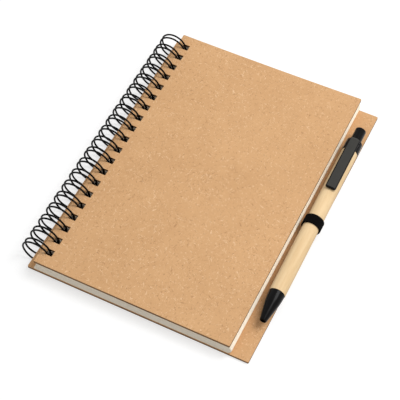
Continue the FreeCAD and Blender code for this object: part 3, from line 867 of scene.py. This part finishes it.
@dataclass
class WireBinding:
    """Double-loop wire: pairs of legs that start apart at the spine bar and close towards their tip."""

    punching: Punching
    wire: float = 1.04
    radius: float = 7.8
    foot_angle: float = 270.0
    tip_angle: float = -60.0
    spacing: tuple[tuple[float, float], ...] = ((-60.0, 1.9), (95.0, 2.7), (206.0, 2.7), (270.0, 3.9))
    bend: float = 1.0
    sides: int = 12
    leg_steps: int = 56
    bend_steps: int = 7

    def _one_loop(self) -> Array:
        """The middle line of one loop about the ring axis, from the bar before it to the bar after it.

        A leg at angle a lies at (radius cos a, half the spacing there, radius sin a); the spacing runs
        straight between its table's angles, and where the opened cover's holes come to, it is narrower
        than they are. At the tip a half circle in the tangent plane joins the legs.
        """
        angle = np.linspace(self.foot_angle, self.tip_angle, self.leg_steps)
        half = np.interp(angle, *np.transpose(self.spacing)) / 2
        turn = np.radians(angle)
        leg = np.column_stack([self.radius * np.cos(turn), -half, self.radius * np.sin(turn)])
        quarter = np.linspace(0, math.pi / 2, self.bend_steps)[:-1]
        side = -(half[0] + self.bend) + self.bend * np.sin(quarter)
        bend = np.column_stack([self.bend * np.cos(quarter), side, np.full(len(quarter), -self.radius)])
        swing = np.linspace(0, math.pi, 2 * self.bend_steps)[1:-1]
        onward = np.array([math.sin(turn[-1]), 0.0, -math.cos(turn[-1])])
        middle = leg[-1] * (1, 0, 1)
        tip = middle + np.outer(np.sin(swing) * half[-1], onward)
        tip[:, 1] = -half[-1] * np.cos(swing)
        mirrored = (1, -1, 1)
        return np.vstack([bend, leg, tip, leg[::-1] * mirrored, bend[::-1] * mirrored])

    def build(self) -> bpy.types.Object:
        """The whole wire, swept along its middle line with the ring's own radius as up."""
        low, high = node_box("binding_wire")
        loop = self._one_loop()
        loops = loop[None] + self.punching.middles()[:, None, None] * np.array([0.0, 1.0, 0.0])
        path = loops.reshape(-1, 3)
        ends = np.array([[self.bend, y, -self.radius] for y in (low[1], high[1])])
        path = np.vstack([ends[:1], path, ends[1:]])
        radial = path * (1, 0, 1)
        section = round_section(self.wire, self.sides)
        return make_piece("double_loop_wire", sweep(path + ring_axis(), radial, section))

    def dress(self, piece: bpy.types.Object) -> None:
        """Give the wire its coating and its place in the frame."""
        install(piece, Body.BOOK, CoatedWire("black_wire").material(), "binding_wire")


@dataclass
class ElasticLoop:
    """Elastic band that comes up through the slot, goes round the barrel and back down beside itself."""

    thick: float = 0.95
    width: float = 6.0
    outer: float = 5.6
    bend: float = 0.6
    edge_round: float = 0.3
    touch_gap: float = 0.02
    steps: int = 96
    stem_points: int = 8
    turn_points: int = 9
    corner_points: int = 5
    face_points: int = 7

    def _path(self, bottom: float) -> Array:
        """The band's middle line in the plane across the pen.

        A stem rises beside the middle, an arc of the bend's radius turns it on to the circle round
        the barrel, which it leaves by the same arc and stem mirrored. The arc's centre is bend +
        radius from the circle's middle and bend beside the stem.
        """
        radius = self.outer - self.thick / 2
        beside = self.thick / 2
        reach = beside + self.bend
        drop = math.sqrt((radius + self.bend) ** 2 - reach**2)
        rise = np.linspace(bottom, -drop, self.stem_points)
        stem = np.column_stack([np.full(self.stem_points, -beside), rise])
        turn = np.linspace(0, math.atan2(drop, reach), self.turn_points)[1:]
        arc = np.column_stack([-reach + self.bend * np.cos(turn), -drop + self.bend * np.sin(turn)])
        start = -math.pi / 2 - math.atan2(reach, drop)
        sweep_angle = 2 * math.pi - 2 * math.atan2(reach, drop)
        round_angle = np.linspace(start, start - sweep_angle, self.steps)[1:-1]
        ring = radius * np.column_stack([np.cos(round_angle), np.sin(round_angle)])
        side = np.vstack([stem, arc])
        return np.vstack([side, ring, side[::-1] * (-1, 1)])

    def build(self) -> bpy.types.Object:
        """The band: a flat section with rounded edges, swept along its path."""
        low, high = node_box("pen_loop")
        centre = np.array([(low[0] + high[0]) / 2, (low[1] + high[1]) / 2, high[2] - self.outer])
        flat = self._path(low[2] - centre[2])
        path = np.column_stack([flat[:, 0], np.zeros(len(flat)), flat[:, 1]]) + centre
        tangent = np.gradient(flat, axis=0)
        normal = np.column_stack([tangent[:, 1], np.zeros(len(flat)), -tangent[:, 0]])
        half_u, half_v = (self.thick - self.touch_gap) / 2, self.width / 2
        signs = ((-1, -1), (1, -1), (1, 1), (-1, 1))
        corners = [(u * half_u, v * half_v, self.edge_round) for u, v in signs]
        outline = rounded_outline(corners, self.corner_points - 1)
        flat_half = half_v - self.edge_round
        face = np.linspace(-flat_half, flat_half, self.face_points + 2)[1:-1]
        right = np.column_stack([np.full(len(face), half_u), face])
        left = np.column_stack([np.full(len(face), -half_u), face[::-1]])
        section = np.insert(outline, 2 * self.corner_points, right, axis=0)
        section = np.vstack([section, left])
        return make_piece("elastic_band", sweep(path, normal, section))

    def dress(self, piece: bpy.types.Object) -> None:
        """Give the band its weave and its place in the frame."""
        install(piece, Body.BOOK, WovenElastic("black_elastic").material(), "pen_loop")


@dataclass
class PenAxis:
    """The pen's middle line: from the loop's middle, along +Y to the button, turned by a small skew."""

    outer: float = 5.6
    skew: float = 0.65

    def place(self, across: Array, along: Array, up: Array) -> Array:
        """Points at a distance across, along and above the axis, in the notebook's frame."""
        low, high = node_box("pen_loop")
        x, z = (low[0] + high[0]) / 2, high[2] - self.outer
        turn = math.radians(self.skew)
        world_x = x + across * math.cos(turn) - along * math.sin(turn)
        world_y = across * math.sin(turn) + along * math.cos(turn)
        return np.stack([world_x, world_y, z + up + 0 * along], axis=-1)

    def turned(self, corners: list[tuple[float, float, float]], sides: int = 64, steps: int = 6) -> Shell:
        """A ring-shaped piece turned about the axis.

        Args:
            corners: (station, radius, rounding) of its closed section.
            sides: points round the axis.
            steps: points on each rounding.

        Returns:
            The surface (radius cos a, station, radius sin a) for every angle a.
        """
        outline = rounded_outline(corners, steps)
        angle = np.linspace(0, 2 * math.pi, sides, endpoint=False)
        station, radius = outline[:, 0, None], outline[:, 1, None]
        grid = self.place(radius * np.cos(angle), station + 0 * angle, radius * np.sin(angle))
        return grid_shell(grid, wrap_rows=True)


@dataclass
class ReturnSpring:
    """The coil spring round the writing point: the ink tube shortens it when the pen clicks."""

    axis: PenAxis
    seat: float = -56.0
    length: float = 10.0
    travel: float = 5.0
    wire: float = 0.4
    turns: int = 8
    steps: int = 24
    sides: int = 8

    def build(self) -> bpy.types.Object:
        """Round wire carried along a helix, whose station grows evenly with its angle."""
        low, high = node_box("pen_spring")
        radius = (high[2] - low[2] - self.wire) / 2
        angle = np.linspace(0, 2 * math.pi * self.turns, self.turns * self.steps + 1)
        station = self.seat + self.wire / 2 + (self.length - self.wire) * angle / angle[-1]
        across, up = np.cos(angle), np.sin(angle)
        path = self.axis.place(radius * across, station, radius * up)
        outward = path - self.axis.place(0 * across, station, 0 * up)
        section = round_section(self.wire, self.sides)
        return make_piece("return_spring", sweep(path, outward / radius, section))

    def dress(self, piece: bpy.types.Object, finish: bpy.types.Material) -> None:
        """Give the spring its steel and its own mesh; its seat and the share of its length that full travel keeps
        are worked out, but nothing shortens it.
        """
        install(piece, Body.BOOK, finish, "pen_spring")
        seat, ahead = self.axis.place(np.zeros(2), np.array([self.seat, self.seat + 1]), np.zeros(2))
        keep = 1 - self.travel / self.length
        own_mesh(piece)


@dataclass
class ClickPen:
    """The pen in the loop: card barrel, tapered nose, clip moulding with its collar, and push button."""

    axis: PenAxis = field(default_factory=PenAxis)
    barrel: tuple[float, float] = (-48.4, 53.3)
    barrel_radius: float = 4.6
    bore_radius: float = 3.9
    nose_mouth: float = -66.6
    nose_radii: tuple[float, float, float, float] = (1.2, 1.85, 4.15, 4.5)
    nose_shoulder: float = 13.0
    nose_spigot: float = 8.0
    spigot_radius: float = 3.85
    chamber: tuple[float, float] = (2.3, 10.6)
    collar_radius: float = 4.75
    collar_back: float = 61.3
    rear_spigot: float = 10.0
    button_bore: float = 3.2
    clip_end: float = 22.3
    clip_half_width: float = 3.1
    clip_under: float = 5.1
    clip_top: float = 6.3
    clip_pad: float = 0.35
    clip_slope: float = 3.0
    clip_corner: float = 1.3
    clip_arch: float = 3.4
    clip_edge: float = 0.38
    clip_roll: float = 5.0
    clip_wall: float = 0.3
    clip_pad_end: float = 3.0
    clip_ease: float = 1.6
    clip_crown: float = 0.1
    clip_matt_sheen_end: float = 0.35
    clip_arch_share: float = 0.985
    clip_face: tuple[float, ...] = (0.96, 0.88, 0.6, 0.3, 0.0, -0.3, -0.6, -0.88, -0.96)
    clip_corner_points: int = 6
    clip_rows: tuple[int, int, int] = (14, 34, 10)
    collar_step: float = 0.01
    button: tuple[float, float] = (41.4, 71.1)
    button_radius: float = 3.15
    button_hollow: float = 2.4
    button_cap: float = 2.5
    flange: tuple[float, float] = (3.6, 1.6)

    def build_barrel(self) -> bpy.types.Object:
        """The card tube, its outer edges just broken."""
        front, back = self.barrel
        inner, outer = self.bore_radius, self.barrel_radius
        corners = [(front, inner, 0.05), (front, outer, 0.16), (back, outer, 0.16), (back, inner, 0.05)]
        return make_piece("card_barrel", self.axis.turned(corners, sides=96))

    def build_nose(self) -> bpy.types.Object:
        """The nose: a cone that eases into the barrel, with spigot, spring chamber and mouth."""
        mouth, tip, shoulder, base = self.nose_radii
        chamber, seat = self.chamber
        start, end = self.nose_mouth, self.barrel[0]
        top = end + self.nose_spigot
        corners = [
            (start, mouth, 0.18),
            (start, tip, 0.45),
            (start + self.nose_shoulder, shoulder, 36.0),
            (end, base, 0.14),
            (end, self.spigot_radius, 0.0),
            (top, self.spigot_radius, 0.2),
            (top, chamber, 0.1),
            (start + seat, chamber, 0.1),
            (start + seat, mouth, 0.05),
        ]
        return make_piece("nose_moulding", self.axis.turned(corners, sides=80, steps=9))

    def _clip_arm(self) -> Shell:
        """The clip's arm: a rounded rectangle lofted along the pen.

        Its half width grows from the free end as a quarter circle and ends at the back in an arch, half
        an ellipse; its top is flat, slopes down to the collar at the back and is crowned by crown *
        (1 - (x / half width) squared); its underside has a pad. The mark of the matt face is 1 on the
        flat top, where it is painted grey as the sheen of the light, and falls to 0 towards its rounded edges.
        """
        length = self.collar_back - self.clip_end
        collar_front = self.barrel[1] - self.clip_end
        end_rows, body_rows, root_rows = self.clip_rows
        quarter = np.linspace(0, math.pi / 2, end_rows)
        eased = 1 - np.cos(quarter)
        body = np.linspace(self.clip_corner, collar_front - self.collar_step, body_rows)
        root = np.linspace(collar_front, length - self.clip_arch, root_rows)
        arch = length - self.clip_arch + self.clip_arch_share * self.clip_arch * np.sin(quarter)
        station = np.concatenate([eased * self.clip_corner, body[1:], root, arch[1:]])
        plan = np.clip(self.clip_corner - station, 0, None)
        width = self.clip_half_width - self.clip_corner + np.sqrt(self.clip_corner**2 - plan**2)
        beyond = np.clip((station - length) / self.clip_arch + 1, 0, None)
        width = width * np.sqrt(1 - beyond**2)
        step = np.clip((station - self.clip_pad_end) / self.clip_pad_end, 0, 1)
        under = self.clip_under - self.clip_pad * (1 - step * step * (3 - 2 * step))
        under = np.where(station >= collar_front, self.button_bore + self.clip_wall, under)
        slope = np.clip((station - (length - self.clip_slope)) / self.clip_slope, 0, 1)
        top = self.clip_top - (self.clip_top - self.collar_radius) * slope**self.clip_ease
        nose = np.clip(self.clip_edge - station, 0, None)
        trim = self.clip_edge - np.sqrt(self.clip_edge**2 - nose**2)
        middle, half = (top + under) / 2, (top - under) / 2 - trim
        points, face = self.clip_corner_points, np.array(self.clip_face)
        top_start = 3 * points
        swing = np.radians(np.concatenate([np.linspace(q, q + 90, points) for q in (-180, -90, 0, 90)]))
        swing = np.insert(swing, top_start, np.full(len(face), math.pi / 2))
        crossing = np.insert(np.repeat([-1.0, 1.0, 1.0, -1.0], points), top_start, face)
        rising = np.insert(np.repeat([-1.0, -1.0, 1.0, 1.0], points), top_start, np.ones(len(face)))
        inner = np.zeros(len(crossing))
        inner[top_start + 1 : top_start + len(face) - 1] = 1.0
        # Rows of the flat top that are matt and painted grey as the light's sheen.
        matt_sheen_rows = (station > self.clip_edge * 2) & (station < length - self.clip_matt_sheen_end)
        matt = inner * matt_sheen_rows[:, None]
        inner_width = (width - self.clip_edge)[:, None]
        inner_half = (half - self.clip_edge)[:, None]
        across = crossing * inner_width + self.clip_edge * np.cos(swing)
        crown = self.clip_crown * (1 - (across / self.clip_half_width) ** 2) * (rising > 0) * (1 - slope[:, None])
        up = middle[:, None] + rising * inner_half + self.clip_edge * np.sin(swing) + crown
        roll = math.radians(self.clip_roll)
        rolled_across = across * math.cos(roll) + up * math.sin(roll)
        rolled_up = up * math.cos(roll) - across * math.sin(roll)
        along = self.clip_end + station[:, None] + 0 * across
        shell = grid_shell(self.axis.place(rolled_across, along, rolled_up), capped=True)
        shell.marks["matt"] = np.append(matt.ravel(), [0.0, 0.0])
        return shell

    def build_clip(self) -> bpy.types.Object:
        """The clip moulding: collar and spigot turned about the axis, with the arm standing out of them."""
        front, back = self.barrel[1], self.collar_back
        start = front - self.rear_spigot
        corners = [
            (start, self.button_bore, 0.05),
            (start, self.spigot_radius, 0.1),
            (front, self.spigot_radius, 0.0),
            (front, self.collar_radius, 0.15),
            (back, self.collar_radius, 0.7),
            (back, self.button_bore, 0.15),
        ]
        collar = self.axis.turned(corners, sides=80)
        return make_piece("clip_moulding", join([collar, self._clip_arm()]))

    def build_button(self) -> bpy.types.Object:
        """The push button: a hollow rod with a rounded end and the flange that keeps it in."""
        front, back = self.button
        flange, flange_length = self.flange
        floor = back - self.button_cap
        corners = [
            (front, self.button_hollow, 0.1),
            (front, flange, 0.15),
            (front + flange_length, flange, 0.15),
            (front + flange_length, self.button_radius, 0.1),
            (back, self.button_radius, 0.75),
            (back, 0.0, 0.0),
            (floor, 0.0, 0.0),
            (floor, self.button_hollow, 0.1),
        ]
        return make_piece("push_button", self.axis.turned(corners, steps=8))

    def build_and_dress(self) -> None:
        """Make the four visible pieces of the pen and dress the ones inside it."""
        plastic = MouldedPlastic("black_plastic").material()
        card = RolledCard("rolled_card").material()
        install(self.build_barrel(), Body.BOOK, card, "pen_barrel")
        install(self.build_nose(), Body.BOOK, plastic, "pen_nose")
        install(self.build_clip(), Body.BOOK, plastic, "pen_clip")
        install(self.build_button(), Body.PLUNGER, plastic, "pen_button")
        milky = (srgb(222, 221, 214), srgb(206, 204, 196))
        inky = (srgb(32, 40, 96), srgb(20, 24, 62))
        inner = MouldedPlastic("natural_plastic", *milky, satin=0.3, gloss=0.5)
        tube = MouldedPlastic("ink_tube", *inky, satin=0.1, gloss=0.5)
        brass = TurnedMetal("turned_brass", srgb(214, 178, 106), srgb(166, 128, 70))
        steel = TurnedMetal("drawn_steel", srgb(196, 198, 202), srgb(150, 152, 156), 3.0)
        spring = ReturnSpring(self.axis)
        spring.dress(spring.build(), steel.material())
        inside = {"pen_rotor": inner, "pen_refill": tube, "pen_point": brass}
        for node, finish in inside.items():
            carried = frame["nodes"][node]
            carried.data.materials.clear()
            carried.data.materials.append(finish.material())
            LOG.info("%s: dressed as %s", node, finish.name)


@dataclass
class Studio:
    """Pale floor, white surroundings, one soft lamp and the camera of the reference view."""

    ring_bottom: tuple[float, float] = (-61.2, 0.0)
    fore_edge_bottom: tuple[float, float] = (67.1, 1.55)
    floor_reach: float = 4000.0
    camera_at: tuple[float, float, float] = (179.13, -387.67, 603.96)
    azimuth: float = 25.252
    elevation: float = 55.159
    roll: float = 1.064
    lens: float = 119.37
    lamp_towards: tuple[float, float, float] = (0.45, 0.35, 0.9)
    lamp_distance: float = 0.95
    lamp_size: float = 0.5
    lamp_level: float = 0.48
    fill_level: float = 0.54
    floor_colour: Colour = (0.5, 0.5, 0.5)
    floor_lift: float = 0.6
    floor_roughness: float = 0.9
    floor_cloud: float = 0.01
    floor_variation: float = 0.99

    def build_floor(self) -> None:
        """The plane through the loops' lowest line and the back cover's lower fore-edge."""
        (x0, z0), (x1, z1) = self.ring_bottom, self.fore_edge_bottom
        slope = (z1 - z0) / (x1 - x0)
        reach = np.linspace(-self.floor_reach, self.floor_reach, 3)
        x, y = np.meshgrid(reach, reach, indexing="ij")
        points = np.stack([x, y, z0 + (x - x0) * slope], axis=-1).reshape(-1, 3)
        index = np.arange(9).reshape(3, 3)
        quads = np.stack([index[:-1, :-1], index[1:, :-1], index[1:, 1:], index[:-1, 1:]], axis=-1)
        mesh = bpy.data.meshes.new("floor")
        mesh.from_pydata((points * METRES).tolist(), [], quads.reshape(-1, 4).tolist())
        floor = place_object("floor", mesh)
        material, graph = new_material("pale_floor")
        tone = graph.noise(self.floor_cloud)
        edge = tuple(channel * self.floor_variation for channel in self.floor_colour)
        colour = graph.blend(tone, self.floor_colour, edge)
        lift = graph.blend(self._seen(graph), (0.0, 0.0, 0.0), (self.floor_lift,) * 3)
        more = {"Emission Color": lift, "Emission Strength": 1.0, "Specular IOR Level": 0.0}
        graph.surface(colour, self.floor_roughness, more)
        mesh.materials.append(material)

    @staticmethod
    def _seen(graph: NodeGraph) -> Field:
        """1 for rays from the camera, from a mirror-like surface or through a clear one."""
        path = graph.add("ShaderNodeLightPath")
        seen = Field(graph, path.outputs["Is Camera Ray"])
        for ray in ("Is Glossy Ray", "Is Transmission Ray"):
            seen = seen.or_more(Field(graph, path.outputs[ray]))
        return seen

    def build_world(self) -> None:
        """Surroundings that look white and light the scene evenly at the fill's level."""
        world = bpy.data.worlds.new("studio")
        world.use_nodes = True
        bpy.context.scene.world = world
        graph = NodeGraph(world.node_tree)
        shaders = {}
        for socket, strength in ((1, self.fill_level), (2, 1.0)):
            values = {"Color": (1.0, 1.0, 1.0), "Strength": strength}
            shaders[socket] = Field(graph, graph.add("ShaderNodeBackground", {}, values).outputs[0])
        mixed = graph.add("ShaderNodeMixShader", {}, {0: self._seen(graph), **shaders})
        graph.add("ShaderNodeOutputWorld", {}, {"Surface": Field(graph, mixed.outputs[0])})

    def build_lamp(self) -> None:
        """A soft square lamp whose power lights a level white surface below it to the lamp's level.

        The power is level * (pi * distance) squared / cos(angle to the upright).
        """
        towards = np.array(self.lamp_towards) / np.linalg.norm(self.lamp_towards)
        light = bpy.data.lights.new("key", "AREA")
        light.shape = "SQUARE"
        light.size = self.lamp_size
        light.energy = self.lamp_level * (math.pi * self.lamp_distance) ** 2 / towards[2]
        lamp = place_object("key", light)
        lamp.matrix_world = self._facing(towards * self.lamp_distance, towards, 0.0)

    def build_camera(self) -> None:
        """The camera at the reference view's place, angle and lens."""
        azimuth, elevation = math.radians(self.azimuth), math.radians(self.elevation)
        level = math.cos(elevation)
        back = np.array([math.sin(azimuth) * level, -math.cos(azimuth) * level, math.sin(elevation)])
        data = bpy.data.cameras.new("reference_view")
        data.sensor_fit = "HORIZONTAL"
        data.sensor_width = 36.0
        data.lens = self.lens
        camera = place_object("reference_view", data)
        place = np.array(self.camera_at) * METRES
        camera.matrix_world = self._facing(place, back, math.radians(self.roll))
        bpy.context.scene.camera = camera

    @staticmethod
    def _facing(place: Array, back: Array, roll: float) -> Matrix:
        """A place and a turn whose own +Z is the back direction and whose +X is level before the roll.

        Args:
            place: where, in metres.
            back: the direction away from what is looked at.
            roll: turn about the back direction, in radians.

        Returns:
            The 4 by 4 matrix.
        """
        right = np.cross((0.0, 0.0, 1.0), back)
        right /= np.linalg.norm(right)
        up = np.cross(back, right)
        rolled = right * math.cos(roll) + up * math.sin(roll)
        matrix = np.identity(4)
        matrix[:3] = np.column_stack([rolled, np.cross(back, rolled), back, place])
        return Matrix(matrix.tolist())

    def build(self) -> None:
        """Everything round the notebook."""
        self.build_floor()
        self.build_world()
        self.build_lamp()
        self.build_camera()
        bpy.context.scene.view_settings.view_transform = "Standard"


def main() -> None:
    """Build the studio, then the notebook's pieces in order."""
    logging.basicConfig(level=logging.INFO, format="%(message)s")
    Studio().build()
    punching = Punching()
    for side in CoverSide:
        cover = Cover(side, punching)
        cover.dress(cover.build())
    for part in (PageBlock(punching), WireBinding(punching), ElasticLoop()):
        part.dress(part.build())
    ClickPen().build_and_dress()


if __name__ == "__main__":
    main()
